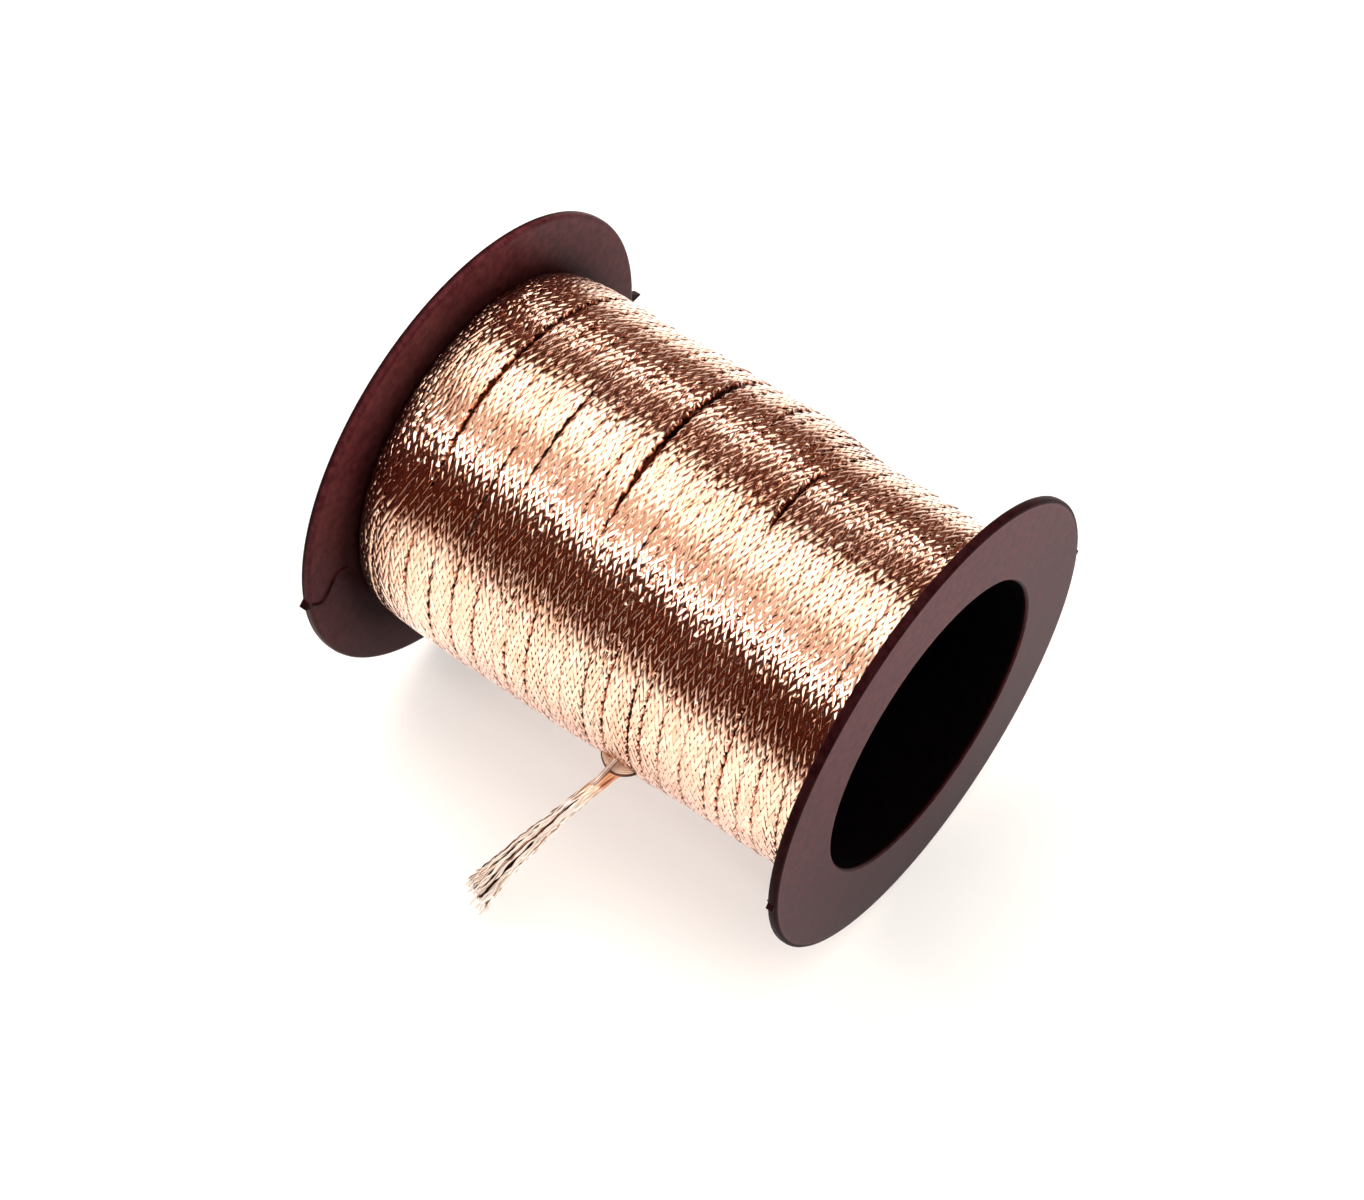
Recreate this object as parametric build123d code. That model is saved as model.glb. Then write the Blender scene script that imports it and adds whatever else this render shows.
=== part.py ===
from build123d import *
import math
import os

# A flanged spool lying on its side, wound with flat copper braid. Millimetres.
# +X runs along the spool's axis, from the left flange to the right flange, and +Z is up.
# The origin is on the surface that the spool lies on, under the middle of its axis.

# ---- driving dimensions ----------------------------------------------------------------
FLANGE_DIAMETER = 80.0
OVERALL_WIDTH = 91.0
FLANGE_THICKNESS = 1.6
RIM_ROUND = 0.5
BORE_DIAMETER = 51.0
BORE_CHAMFER = 0.4
TUBE_DIAMETER = 57.4
SEAT_DEPTH = 0.8

BRAID_WIDTH = 4.4
BRAID_THICKNESS = 0.9
TURN_CROWN = 0.15
LAYER_COUNT = 3
TOP_LAYER_END_X = 15.4

FLASH_HEIGHT = 1.2
FLASH_WIDTH = 1.8
PARTING_RIDGE_WIDTH = 0.7
PARTING_RIDGE_HEIGHT = 0.25

HITCH_ANGLE = 199.0
HITCH_THICKNESS = 1.5
HITCH_RISE = 1.8
HITCH_LEFT_FOOT = 4.8
HITCH_RIGHT_FOOT = 10.8
HITCH_SHOULDER = 1.6
HITCH_CORNER_RADIUS = 1.1

TAIL_DIAMETER = 2.4
TAIL_ROUTE = [
    (6.8, -27.2, 25.2),
    (4.1, -34.0, 22.4),
    (1.2, -38.9, 16.9),
    (-2.0, -44.3, 11.4),
    (-4.7, -49.8, 5.0),
]

FRAYED_WIRE_COUNT = 12
FRAYED_WIRE_DIAMETER = 0.35
FRAYED_LENGTH = 10.0
FRAY_SPREAD = 3.2

RUN_SHARE_FOR_ARCS = 0.45
CUT_MARGIN = 2.0

# ---- places worked out from them -------------------------------------------------------
FLANGE_RADIUS = FLANGE_DIAMETER / 2
BORE_RADIUS = BORE_DIAMETER / 2
TUBE_RADIUS = TUBE_DIAMETER / 2
AXIS_HEIGHT = FLANGE_RADIUS
INNER_FACE_X = OVERALL_WIDTH / 2 - FLANGE_THICKNESS
WINDING_WIDTH = 2 * INNER_FACE_X
WINDING_RADIUS = TUBE_RADIUS + LAYER_COUNT * BRAID_THICKNESS


def axis_cylinder(radius, length, middle_x=0.0):
    """A cylinder round the spool's axis, which lies at the origin until lifted()."""
    upright = Cylinder(radius, length)
    return Pos(middle_x, 0, 0) * Rot(0, 90, 0) * upright


def lifted(shape):
    """The shape with the spool's axis raised to its height over the surface."""
    return Pos(0, 0, AXIS_HEIGHT) * shape


def sleeve(inner_radius, outer_radius, start_x, end_x):
    length = end_x - start_x
    middle_x = (start_x + end_x) / 2
    hole = axis_cylinder(inner_radius, length + CUT_MARGIN, middle_x)
    return axis_cylinder(outer_radius, length, middle_x) - hole


def core_tube():
    end_x = INNER_FACE_X + SEAT_DEPTH
    return sleeve(BORE_RADIUS, TUBE_RADIUS, -end_x, end_x)


def right_flange():
    """A disc with the spindle hole, the tube's seat, and the flash of its parting line."""
    middle_x = INNER_FACE_X + FLANGE_THICKNESS / 2
    disc = axis_cylinder(FLANGE_RADIUS, FLANGE_THICKNESS, middle_x)
    disc = fillet(disc.edges().filter_by(GeomType.CIRCLE), RIM_ROUND)

    ridge_length = FLANGE_RADIUS - WINDING_RADIUS - RIM_ROUND
    ridge_middle_y = WINDING_RADIUS + ridge_length / 2
    ridge_x = INNER_FACE_X - PARTING_RIDGE_HEIGHT / 2
    ridge = Box(2 * PARTING_RIDGE_HEIGHT, ridge_length, PARTING_RIDGE_WIDTH)
    half_flash = FLASH_WIDTH / 2
    root = FLANGE_RADIUS - RIM_ROUND
    spike_outline = make_face(
        Polyline((root, -half_flash), (FLANGE_RADIUS + FLASH_HEIGHT, 0), (root, half_flash), close=True)
    )
    spike = extrude(Plane.YZ * spike_outline, FLANGE_THICKNESS - RIM_ROUND)
    spike = Pos(INNER_FACE_X + RIM_ROUND / 2, 0, 0) * spike
    for half_turn in (0, 180):
        disc += Rot(half_turn, 0, 0) * Pos(ridge_x, ridge_middle_y, 0) * ridge
        disc += Rot(half_turn, 0, 0) * spike

    disc -= axis_cylinder(BORE_RADIUS, FLANGE_THICKNESS + CUT_MARGIN, middle_x)
    disc -= axis_cylinder(TUBE_RADIUS, 2 * SEAT_DEPTH, INNER_FACE_X)
    outer_face = disc.faces().sort_by(Axis.X)[-1]
    bore_edge = outer_face.edges().sort_by(SortBy.LENGTH)[0]
    return chamfer(bore_edge, BORE_CHAMFER)


def side_by_side_turns(outer_radius, start_x, end_x):
    """One layer of turns side by side, each with a slightly crowned outside."""
    inner_radius = outer_radius - BRAID_THICKNESS
    groove_radius = outer_radius - TURN_CROWN
    turn_count = round((end_x - start_x) / BRAID_WIDTH)
    pitch = (end_x - start_x) / turn_count
    outline = [
        Line((start_x, groove_radius), (start_x, inner_radius)),
        Line((start_x, inner_radius), (end_x, inner_radius)),
        Line((end_x, inner_radius), (end_x, groove_radius)),
    ]
    for turn in range(turn_count):
        turn_x = start_x + turn * pitch
        outline.append(
            ThreePointArc(
                (turn_x, groove_radius),
                (turn_x + pitch / 2, outer_radius),
                (turn_x + pitch, groove_radius),
            )
        )
    return revolve(make_face(outline), Axis.X)


def first_layer():
    return sleeve(TUBE_RADIUS, TUBE_RADIUS + BRAID_THICKNESS, -INNER_FACE_X, INNER_FACE_X)


def second_layer():
    """Plain under the top layer, and turn by turn where it shows beside it."""
    outer_radius = WINDING_RADIUS - BRAID_THICKNESS
    covered = sleeve(outer_radius - BRAID_THICKNESS, outer_radius, -INNER_FACE_X, TOP_LAYER_END_X)
    return covered + side_by_side_turns(outer_radius, TOP_LAYER_END_X, INNER_FACE_X)


def top_layer():
    """The last layer, which stops short of the right flange."""
    return side_by_side_turns(WINDING_RADIUS, -INNER_FACE_X, TOP_LAYER_END_X)


def hitch_point(x, radius):
    angle = math.radians(HITCH_ANGLE)
    return (x, radius * math.cos(angle), radius * math.sin(angle))


def wound_core(winding):
    """Everything inside the outside of the top layer, as one body."""
    return winding + axis_cylinder(WINDING_RADIUS - BRAID_THICKNESS, WINDING_WIDTH)


def hitch_loop():
    """The loop of braid that stands off the winding, over the root of the free end."""
    foot_radius = WINDING_RADIUS - HITCH_THICKNESS / 2
    crest_radius = WINDING_RADIUS + HITCH_RISE - HITCH_THICKNESS / 2
    route = FilletPolyline(
        hitch_point(HITCH_LEFT_FOOT, foot_radius),
        hitch_point(HITCH_LEFT_FOOT + HITCH_SHOULDER, crest_radius),
        hitch_point(HITCH_RIGHT_FOOT - HITCH_SHOULDER, crest_radius),
        hitch_point(HITCH_RIGHT_FOOT, foot_radius),
        radius=HITCH_CORNER_RADIUS,
    )
    section = Plane(origin=route @ 0, z_dir=route % 0) * Circle(HITCH_THICKNESS / 2)
    return sweep(section, path=route)


def route_radii(points):
    """One arc radius for each corner: as large as the corner's two runs allow."""
    radii = []
    for before, corner, after in zip(points, points[1:], points[2:]):
        run_in = Vector(corner) - Vector(before)
        run_out = Vector(after) - Vector(corner)
        half_turn = math.radians(run_in.get_angle(run_out)) / 2
        shorter_run = min(run_in.length, run_out.length)
        radii.append(RUN_SHARE_FOR_ARCS * shorter_run / math.tan(half_turn))
    return radii


def braid_tail():
    radii = route_radii(TAIL_ROUTE)
    route = FilletPolyline(*TAIL_ROUTE, radius=radii)
    section = Plane(origin=route @ 0, z_dir=route % 0) * Circle(TAIL_DIAMETER / 2)
    tail = sweep(section, path=route)
    expected = math.pi * (TAIL_DIAMETER / 2) ** 2 * route.length
    print("tail arc radii", [round(radius, 1) for radius in radii])
    print("tail length", round(route.length, 2), "volume over expected", round(tail.volume / expected, 4))
    return tail


def frayed_wires():
    """Straight wires fanning out round the end of the tail, clear of it and of each other."""
    tip = Vector(TAIL_ROUTE[-1])
    last_run = tip - Vector(TAIL_ROUTE[-2])
    end_plane = Plane(origin=tip, z_dir=last_run.normalized())
    start_plane = end_plane.offset(-FRAYED_LENGTH)
    start_radius = TAIL_DIAMETER / 2 + FRAYED_WIRE_DIAMETER
    wires = []
    for index in range(FRAYED_WIRE_COUNT):
        angle = 2 * math.pi * index / FRAYED_WIRE_COUNT
        across = math.cos(angle)
        along = math.sin(angle)
        start = start_plane.from_local_coords((start_radius * across, start_radius * along, 0))
        end = end_plane.from_local_coords((FRAY_SPREAD * across, FRAY_SPREAD * along, 0))
        run = Vector(end) - Vector(start)
        wire = Cylinder(FRAYED_WIRE_DIAMETER / 2, run.length, align=(Align.CENTER, Align.CENTER, Align.MIN))
        wires.append(Plane(origin=start, z_dir=run.normalized()) * wire)
    return Compound(children=wires)


def main():
    os.makedirs("parts", exist_ok=True)
    flange = right_flange()
    top = top_layer()
    core = wound_core(top)
    parts = {
        "core_tube": lifted(core_tube()),
        "right_flange": lifted(flange),
        "left_flange": lifted(mirror(flange, Plane.YZ)),
        "winding_layer_1": lifted(first_layer()),
        "winding_layer_2": lifted(second_layer()),
        "winding_top_layer": lifted(top),
        "hitch_loop": lifted(hitch_loop() - core),
        "braid_tail": braid_tail() - lifted(core),
        "frayed_wires": frayed_wires(),
    }
    for name, shape in parts.items():
        export_step(shape, f"parts/{name}.step")


main()
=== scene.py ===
import math

import bpy
import numpy as np
from mathutils import Matrix, Vector


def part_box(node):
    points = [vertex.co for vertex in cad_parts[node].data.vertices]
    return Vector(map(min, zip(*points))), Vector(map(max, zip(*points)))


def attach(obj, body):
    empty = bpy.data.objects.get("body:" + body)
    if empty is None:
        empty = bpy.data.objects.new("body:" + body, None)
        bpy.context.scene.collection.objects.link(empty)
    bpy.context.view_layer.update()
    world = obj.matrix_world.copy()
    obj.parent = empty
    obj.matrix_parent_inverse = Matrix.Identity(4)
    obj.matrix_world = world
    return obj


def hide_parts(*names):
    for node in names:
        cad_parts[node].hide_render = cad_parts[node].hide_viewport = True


# A plastic spool on its side, wound with flat copper braid, whose free end comes out
# through a hitch at the front and frays at its tip. Metres, in the CAD model's frame:
# +X along the spool's axis, +Z up. An angle round the axis starts at +Y and turns towards +Z.

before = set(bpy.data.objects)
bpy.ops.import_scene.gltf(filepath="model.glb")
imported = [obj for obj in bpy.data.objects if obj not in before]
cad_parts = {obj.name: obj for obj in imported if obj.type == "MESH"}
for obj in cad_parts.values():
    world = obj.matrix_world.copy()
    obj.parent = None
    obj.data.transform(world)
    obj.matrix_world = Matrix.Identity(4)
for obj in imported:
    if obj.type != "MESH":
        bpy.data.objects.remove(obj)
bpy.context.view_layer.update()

MM = 0.001
BODY = "root"

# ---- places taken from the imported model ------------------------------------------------
flange_low, flange_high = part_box("left_flange")
AXIS_Z = (flange_low.z + flange_high.z) / 2
FLANGE_RADIUS = (flange_high.z - flange_low.z) / 2
INNER_FACE_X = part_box("winding_layer_2")[1].x
OUTER_FACE_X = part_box("right_flange")[1].x
TOP_LAYER_END_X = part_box("winding_top_layer")[1].x
TOP_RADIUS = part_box("winding_top_layer")[1].z - AXIS_Z
SECOND_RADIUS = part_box("winding_layer_2")[1].z - AXIS_Z
BORE_RADIUS = 25.5 * MM
BORE_CHAMFER = 0.4 * MM
FLANGE_THICKNESS = OUTER_FACE_X - INNER_FACE_X
SEAT_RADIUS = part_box("core_tube")[1].z - AXIS_Z
SEAT_FLOOR = OUTER_FACE_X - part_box("core_tube")[1].x
RIM_ROUND = 0.5 * MM
FLANGE_SEGMENTS = 288

# In the photo the left flange is a little larger than the right one
LEFT_FLANGE_RADIUS = FLANGE_RADIUS + 0.7 * MM
RIGHT_FLANGE_RADIUS = FLANGE_RADIUS - 0.45 * MM
# Painted shade: a dark outline on the flanges' rims, lighter on the left flange's inner rim, and darker
# paint along the parting ridges
RIM_PAINTED_SHADE = 0.2
LEFT_INNER_RIM_PAINTED_SHADE = 0.7
RIDGE_PAINTED_SHADE = 0.35
RIDGE_HEIGHT = 0.3 * MM

# ---- the flat braid --------------------------------------------------------------------
BRAID_WIDTH = 4.45 * MM
BRAID_EDGE_RADIUS = 0.26 * MM
CARRIER_SPACING = 3.0 * MM
BRAID_SLOPE = 0.24
CARRIERS_PER_CYCLE = 4
WEAVE_HEIGHT = 0.038 * MM
STRAND_WIDTH = 0.81 * MM
STRAND_THICKNESS = 0.10 * MM
STRAND_STEPS = 40

# A strand runs on past the turn's right edge, and sinks there under the next turn
HIDDEN_RUN = 1.3 * MM
TUCK_DEPTH = 0.55 * MM
TUCK_WIDTH = 0.12 * MM
DRAWN_IN_SLOPE = 1.2
WALL_CLEARANCE = 0.15 * MM

# Painted shade: how much darker a strand is painted at its sides, and where it sinks under the next turn
SIDE_PAINTED_SHADE = 0.6
SUNK_PAINTED_SHADE = 1.4

# ---- how the turns lie, left to right: the step from each turn to the next, in mm -------
# A step under the braid's width means that a turn is partly tucked under the next one.
TURN_STEPS = [
    3.9, 3.6, 3.8, 4.4, 4.5, 4.5, 4.2, 2.0, 4.2, 4.1, 2.6, 4.4,
    2.1, 2.0, 4.4, 2.1, 3.4, 4.4, 4.2, 2.8, 3.5, 2.9, 4.4,
]
TURN_START = 225
JOG_START = 232.0
JOG_LENGTH = 105.0
TURNS_PER_PIECE = 2

# The winding isn't quite round, and it is drawn in beside the flanges
SLACK = 0.5 * MM
SLACK_ANGLE = 30
SHOULDER_START_X = TOP_LAYER_END_X - 9 * MM
SHOULDER_LENGTH = 13 * MM
LEFT_DIP = 1.5
LEFT_DIP_AT_FRONT = 0.6
LEFT_DIP_LENGTH = 2.4 * MM
RIGHT_DIP = 0.9 * MM
RIGHT_DIP_LENGTH = 0.9 * MM
PACKED_DEPTH = 0.95 * MM

# Where a dark line shows between two turns: (turn on its right, first angle, last angle, mm)
CREASES = [
    (3, 40, 140, 0.75),
    (3, 150, 182, 0.22),
    (4, 64, 84, 0.20),
    (5, 150, 196, 0.24),
    (6, 84, 104, 0.16),
    (6, 152, 196, 0.26),
    (8, 166, 208, 0.30),
    (9, 94, 122, 0.20),
    (9, 146, 194, 0.26),
    (10, 34, 124, 1.15),
    (12, 152, 186, 0.20),
    (13, 28, 66, 0.65),
    (14, 142, 200, 0.34),
    (15, 150, 204, 0.26),
    (16, 146, 206, 0.24),
    (17, 64, 98, 0.85),
    (17, 154, 198, 0.20),
    (18, 170, 200, 0.26),
    (20, 132, 204, 0.36),
    (21, 160, 200, 0.16),
    (22, 146, 190, 0.20),
]

# ---- the free end: the same route as the CAD tail ---------------------------------------
TAIL_ROUTE = [
    (6.8, -27.2, 25.2),
    (4.1, -34.0, 22.4),
    (1.2, -38.9, 16.9),
    (-2.0, -44.3, 11.4),
    (-4.7, -49.8, 5.0),
]
TAIL_BUNDLES = 44
BUNDLE_WIDTH = 0.42 * MM
BUNDLE_THICKNESS = 0.16 * MM
LOOSE_WIRE_RADIUS = 0.12 * MM
HITCH_WIRES = 16
KEEPER_WIRES = 9
FRAYED_WIRES = 34
LOWEST_WIRE = 0.3 * MM

BRAID_TONES = [(0.81, 0.48, 0.33), (0.85, 0.55, 0.40), (0.89, 0.62, 0.48)]
LOOSE_TONES = [(0.80, 0.36, 0.17), (0.97, 0.80, 0.62), (1.0, 0.93, 0.84)]

# Painted shade: what a strand's colour is multiplied by, from deep in the weave (0) to its top (1),
# darker where shade falls in the crevices
PAINTED_CREVICE_SHADE = [
    (0.0, (0.03, 0.009, 0.006)),
    (0.15, (0.16, 0.05, 0.03)),
    (0.38, (0.55, 0.30, 0.22)),
    (0.7, (1.0, 1.0, 1.0)),
]

# Painted shade: the sheet's colour and glow by its distance in y from the spool's axis, in metres,
# darkening far away
SHEET_PAINTED_FADE = [
    (0.0, (0.91, 0.95, 0.97)),
    (0.22, (0.91, 0.95, 0.97)),
    (0.55, (0.30, 0.20, 0.15)),
    (1.0, (0.10, 0.05, 0.03)),
]
SHEET_HALF_SIZE = 1.6

rng = np.random.default_rng(11)


# =========================================================================================
# camera
# =========================================================================================

def add_camera():
    data = bpy.data.cameras.new("camera")
    data.lens = 90.04
    data.sensor_width = 36
    data.sensor_fit = "HORIZONTAL"
    data.clip_start = 0.01
    data.clip_end = 20
    camera = bpy.data.objects.new("camera", data)
    camera.location = (0.18594, -0.24407, 0.47597)
    camera.rotation_euler = (math.radians(34.752), 0, math.radians(37.635))
    bpy.context.scene.collection.objects.link(camera)
    bpy.context.scene.camera = camera


# =========================================================================================
# node helpers
# =========================================================================================

def new_material(name):
    material = bpy.data.materials.new(name)
    material.use_nodes = True
    tree = material.node_tree
    shader = tree.nodes["Principled BSDF"]
    return material, tree, shader


def add_node(tree, kind, **settings):
    node = tree.nodes.new(kind)
    for key, value in settings.items():
        if key in node.inputs:
            node.inputs[key].default_value = value
        else:
            setattr(node, key, value)
    return node


def noise(tree, vector, scale, detail=3.0, roughness=0.5):
    node = add_node(tree, "ShaderNodeTexNoise", Scale=scale, Detail=detail, Roughness=roughness)
    tree.links.new(vector, node.inputs["Vector"])
    return node.outputs["Fac"]


def ramp(tree, fac, stops):
    node = tree.nodes.new("ShaderNodeValToRGB")
    elements = node.color_ramp.elements
    while len(elements) < len(stops):
        elements.new(0.5)
    for element, (position, color) in zip(elements, stops):
        element.position = position
        element.color = (*color, 1)
    tree.links.new(fac, node.inputs["Fac"])
    return node.outputs["Color"]


def math_node(tree, operation, *values):
    node = tree.nodes.new("ShaderNodeMath")
    node.operation = operation
    for socket, value in zip(node.inputs, values):
        if isinstance(value, (int, float)):
            socket.default_value = value
        else:
            tree.links.new(value, socket)
    return node.outputs["Value"]


def mix_color(tree, blend_type, fac, first, second):
    node = tree.nodes.new("ShaderNodeMix")
    node.data_type = "RGBA"
    node.blend_type = blend_type
    for socket, value in ((node.inputs[0], fac), (node.inputs[6], first), (node.inputs[7], second)):
        if isinstance(value, (int, float)):
            socket.default_value = value
        elif isinstance(value, tuple):
            socket.default_value = (*value, 1)
        else:
            tree.links.new(value, socket)
    return node.outputs[2]


def bump(tree, height, strength, distance, normal=None):
    node = add_node(tree, "ShaderNodeBump", Strength=strength, Distance=distance)
    tree.links.new(height, node.inputs["Height"])
    if normal is not None:
        tree.links.new(normal, node.inputs["Normal"])
    return node.outputs["Normal"]


# =========================================================================================
# materials
# =========================================================================================

def copper_material(name, tones, wire_bump=0.6, roughness=0.08, metallic=1.0):
    """Bright drawn copper. The mesh's "strand" attribute holds a random tone for each strand
    and how deep in the weave a point lies, which paints shade into the colour, and its UV map
    runs along and across the strand."""
    material, tree, shader = new_material(name)
    strand = add_node(tree, "ShaderNodeAttribute", attribute_name="strand")
    parts = tree.nodes.new("ShaderNodeSeparateColor")
    tree.links.new(strand.outputs["Color"], parts.inputs["Color"])
    tone = parts.outputs["Red"]
    depth = parts.outputs["Green"]
    place = tree.nodes.new("ShaderNodeTexCoord").outputs["Object"]

    by_strand = ramp(tree, tone, [(0.0, tones[0]), (0.5, tones[1]), (1.0, tones[2])])
    stain = noise(tree, place, 130, 4, 0.6)
    stain = ramp(tree, stain, [(0.35, (0.90, 0.80, 0.74)), (0.62, (1.0, 1.0, 1.0))])
    color = mix_color(tree, "MULTIPLY", 0.8, by_strand, stain)
    # Painted shade: the deeper a point lies in the weave, the darker its colour
    color = mix_color(tree, "MULTIPLY", 1.0, color, ramp(tree, depth, PAINTED_CREVICE_SHADE))
    tree.links.new(color, shader.inputs["Base Color"])

    uv = tree.nodes.new("ShaderNodeUVMap")
    uv.uv_map = "strand_uv"
    wires = add_node(tree, "ShaderNodeTexWave", Scale=1.0, Distortion=0.4, Detail=1.0)
    wires.bands_direction = "Y"
    tree.links.new(uv.outputs["UV"], wires.inputs["Vector"])
    normal = bump(tree, wires.outputs["Fac"], wire_bump, 0.01 * MM)
    tree.links.new(normal, shader.inputs["Normal"])

    rough = noise(tree, place, 900, 2)
    rough = math_node(tree, "MULTIPLY_ADD", rough, 0.12, roughness)
    tree.links.new(rough, shader.inputs["Roughness"])
    tangent = tree.nodes.new("ShaderNodeTangent")
    tangent.direction_type = "UV_MAP"
    tangent.uv_map = "strand_uv"
    tree.links.new(tangent.outputs["Tangent"], shader.inputs["Tangent"])
    shader.inputs["Anisotropic"].default_value = 0.75
    shader.inputs["Anisotropic Rotation"].default_value = 0.25
    shader.inputs["Metallic"].default_value = metallic
    return material


def packing_material():
    """The braid below the turns that show: dull, and painted near-black as the shade in the gaps between
    turns.
    """
    material, tree, shader = new_material("packed_copper_painted_shade")
    place = tree.nodes.new("ShaderNodeTexCoord").outputs["Object"]
    patches = noise(tree, place, 1500, 3)
    color = ramp(tree, patches, [(0.3, (0.030, 0.010, 0.006)), (0.7, (0.12, 0.045, 0.026))])
    tree.links.new(color, shader.inputs["Base Color"])
    tree.links.new(bump(tree, patches, 0.8, 0.2 * MM), shader.inputs["Normal"])
    shader.inputs["Metallic"].default_value = 0.6
    shader.inputs["Roughness"].default_value = 0.6
    return material


def flange_material():
    """Dark maroon moulded plastic, satin and mottled, with painted light that makes it lighter
    towards its top. The red of the mesh's "strand" attribute is painted light and shade, which
    scales its colour and its sheen."""
    material, tree, shader = new_material("flange_plastic_moulded")
    place = tree.nodes.new("ShaderNodeTexCoord").outputs["Object"]
    mottle = noise(tree, place, 700, 5, 0.7)
    cloud = noise(tree, place, 60, 3, 0.5)
    color = ramp(tree, mottle, [(0.38, (0.045, 0.0080, 0.0100)), (0.62, (0.088, 0.0220, 0.0255))])
    tint = ramp(tree, cloud, [(0.3, (0.86, 0.86, 0.9)), (0.7, (1.08, 1.02, 1.0))])
    color = mix_color(tree, "MULTIPLY", 1.0, color, tint)
    height = tree.nodes.new("ShaderNodeSeparateXYZ")
    tree.links.new(place, height.inputs["Vector"])
    height = math_node(tree, "MULTIPLY", height.outputs["Z"], 1 / (2 * FLANGE_RADIUS))
    # Painted light and shade: darker towards the bottom, lighter towards the top
    painted_light_by_height = [(0.0, (0.42, 0.40, 0.40)), (0.6, (1.0, 0.95, 0.95)), (1.0, (1.5, 1.36, 1.34))]
    color = mix_color(tree, "MULTIPLY", 1.0, color, ramp(tree, height, painted_light_by_height))
    shade = add_node(tree, "ShaderNodeAttribute", attribute_name="strand")
    parts = tree.nodes.new("ShaderNodeSeparateColor")
    tree.links.new(shade.outputs["Color"], parts.inputs["Color"])
    # Painted light and shade from the mesh's attribute darkens the colour here and scales the sheen below
    shade = ramp(tree, parts.outputs["Red"], [(0.0, (0.0, 0.0, 0.0)), (1.0, (1.0, 1.0, 1.0))])
    color = mix_color(tree, "MULTIPLY", 1.0, color, shade)
    tree.links.new(color, shader.inputs["Base Color"])
    specular = math_node(tree, "MULTIPLY", parts.outputs["Red"], 0.06)
    tree.links.new(specular, shader.inputs["Specular IOR Level"])
    rough = math_node(tree, "MULTIPLY_ADD", mottle, 0.16, 0.36)
    tree.links.new(rough, shader.inputs["Roughness"])
    orange_peel = noise(tree, place, 900, 3)
    normal = bump(tree, orange_peel, 0.12, 0.1 * MM)
    normal = bump(tree, cloud, 0.25, 0.3 * MM, normal)
    tree.links.new(normal, shader.inputs["Normal"])
    shader.inputs["Specular Tint"].default_value = (1.0, 0.55, 0.55, 1)
    return material


def tube_material():
    """Near-black moulded tube, dull inside, and painted darker still as the black shade in the bore."""
    material, tree, shader = new_material("tube_plastic_moulded")
    place = tree.nodes.new("ShaderNodeTexCoord").outputs["Object"]
    grain = noise(tree, place, 500, 3)
    # Painted shade: darker than the plastic's own near-black, so the inside of the bore reads as black
    color = ramp(tree, grain, [(0.3, (0.0008, 0.0004, 0.0005)), (0.7, (0.0016, 0.0008, 0.001))])
    tree.links.new(color, shader.inputs["Base Color"])
    tree.links.new(bump(tree, grain, 0.2, 0.1 * MM), shader.inputs["Normal"])
    shader.inputs["Roughness"].default_value = 0.8
    shader.inputs["Specular IOR Level"].default_value = 0.01
    return material


def sheet_material():
    """The pale sheet that the spool lies on. It glows a little, is dimmer far away, and is a
    little darker to the camera than to the spool, so that the shadows on it show."""
    material, tree, shader = new_material("pale_sheet")
    place = tree.nodes.new("ShaderNodeTexCoord").outputs["Object"]
    parts = tree.nodes.new("ShaderNodeSeparateXYZ")
    tree.links.new(place, parts.inputs["Vector"])
    away = math_node(tree, "ABSOLUTE", parts.outputs["Y"])
    faded = ramp(tree, away, SHEET_PAINTED_FADE)
    tree.links.new(faded, shader.inputs["Emission Color"])
    rays = tree.nodes.new("ShaderNodeLightPath")
    seen = ramp(tree, rays.outputs["Is Camera Ray"], [(0.0, (1.0, 1.0, 1.0)), (1.0, (0.73, 0.68, 0.625))])
    base = mix_color(tree, "MULTIPLY", 1.0, faded, seen)
    tree.links.new(base, shader.inputs["Base Color"])
    shader.inputs["Roughness"].default_value = 0.9
    shader.inputs["Specular IOR Level"].default_value = 0.1
    shader.inputs["Emission Strength"].default_value = 0.36
    return material


# =========================================================================================
# mesh builders
# =========================================================================================

def add_object(name, mesh, material):
    mesh.materials.append(material)
    piece = bpy.data.objects.new(name, mesh)
    bpy.context.scene.collection.objects.link(piece)
    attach(piece, BODY)
    return piece


def quad_mesh(name, points, quads, uv=None, strand=None):
    """A smooth mesh from arrays: points (n, 3), quads (m, 4), and for each point its place
    along and across its strand and its (tone, depth) in the weave, or its shade twice."""
    mesh = bpy.data.meshes.new(name)
    mesh.vertices.add(len(points))
    mesh.vertices.foreach_set("co", points.astype(np.float32).ravel())
    mesh.loops.add(len(quads) * 4)
    mesh.loops.foreach_set("vertex_index", quads.astype(np.int32).ravel())
    mesh.polygons.add(len(quads))
    mesh.polygons.foreach_set("loop_start", np.arange(0, len(quads) * 4, 4, dtype=np.int32))
    mesh.polygons.foreach_set("use_smooth", np.ones(len(quads), bool))
    mesh.update(calc_edges=True)
    if uv is not None:
        layer = mesh.uv_layers.new(name="strand_uv")
        layer.uv.foreach_set("vector", uv[quads.ravel()].astype(np.float32).ravel())
    if strand is not None:
        colors = mesh.color_attributes.new("strand", "FLOAT_COLOR", "POINT")
        rgba = np.ones((len(points), 4), np.float32)
        rgba[:, :2] = strand
        rgba[:, 2] = 0
        colors.data.foreach_set("color", rgba.ravel())
    mesh.validate()
    return mesh


def unit(vectors):
    return vectors / np.linalg.norm(vectors, axis=-1, keepdims=True)


def smooth_step(value):
    value = np.clip(value, 0, 1)
    return value * value * (3 - 2 * value)


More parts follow.
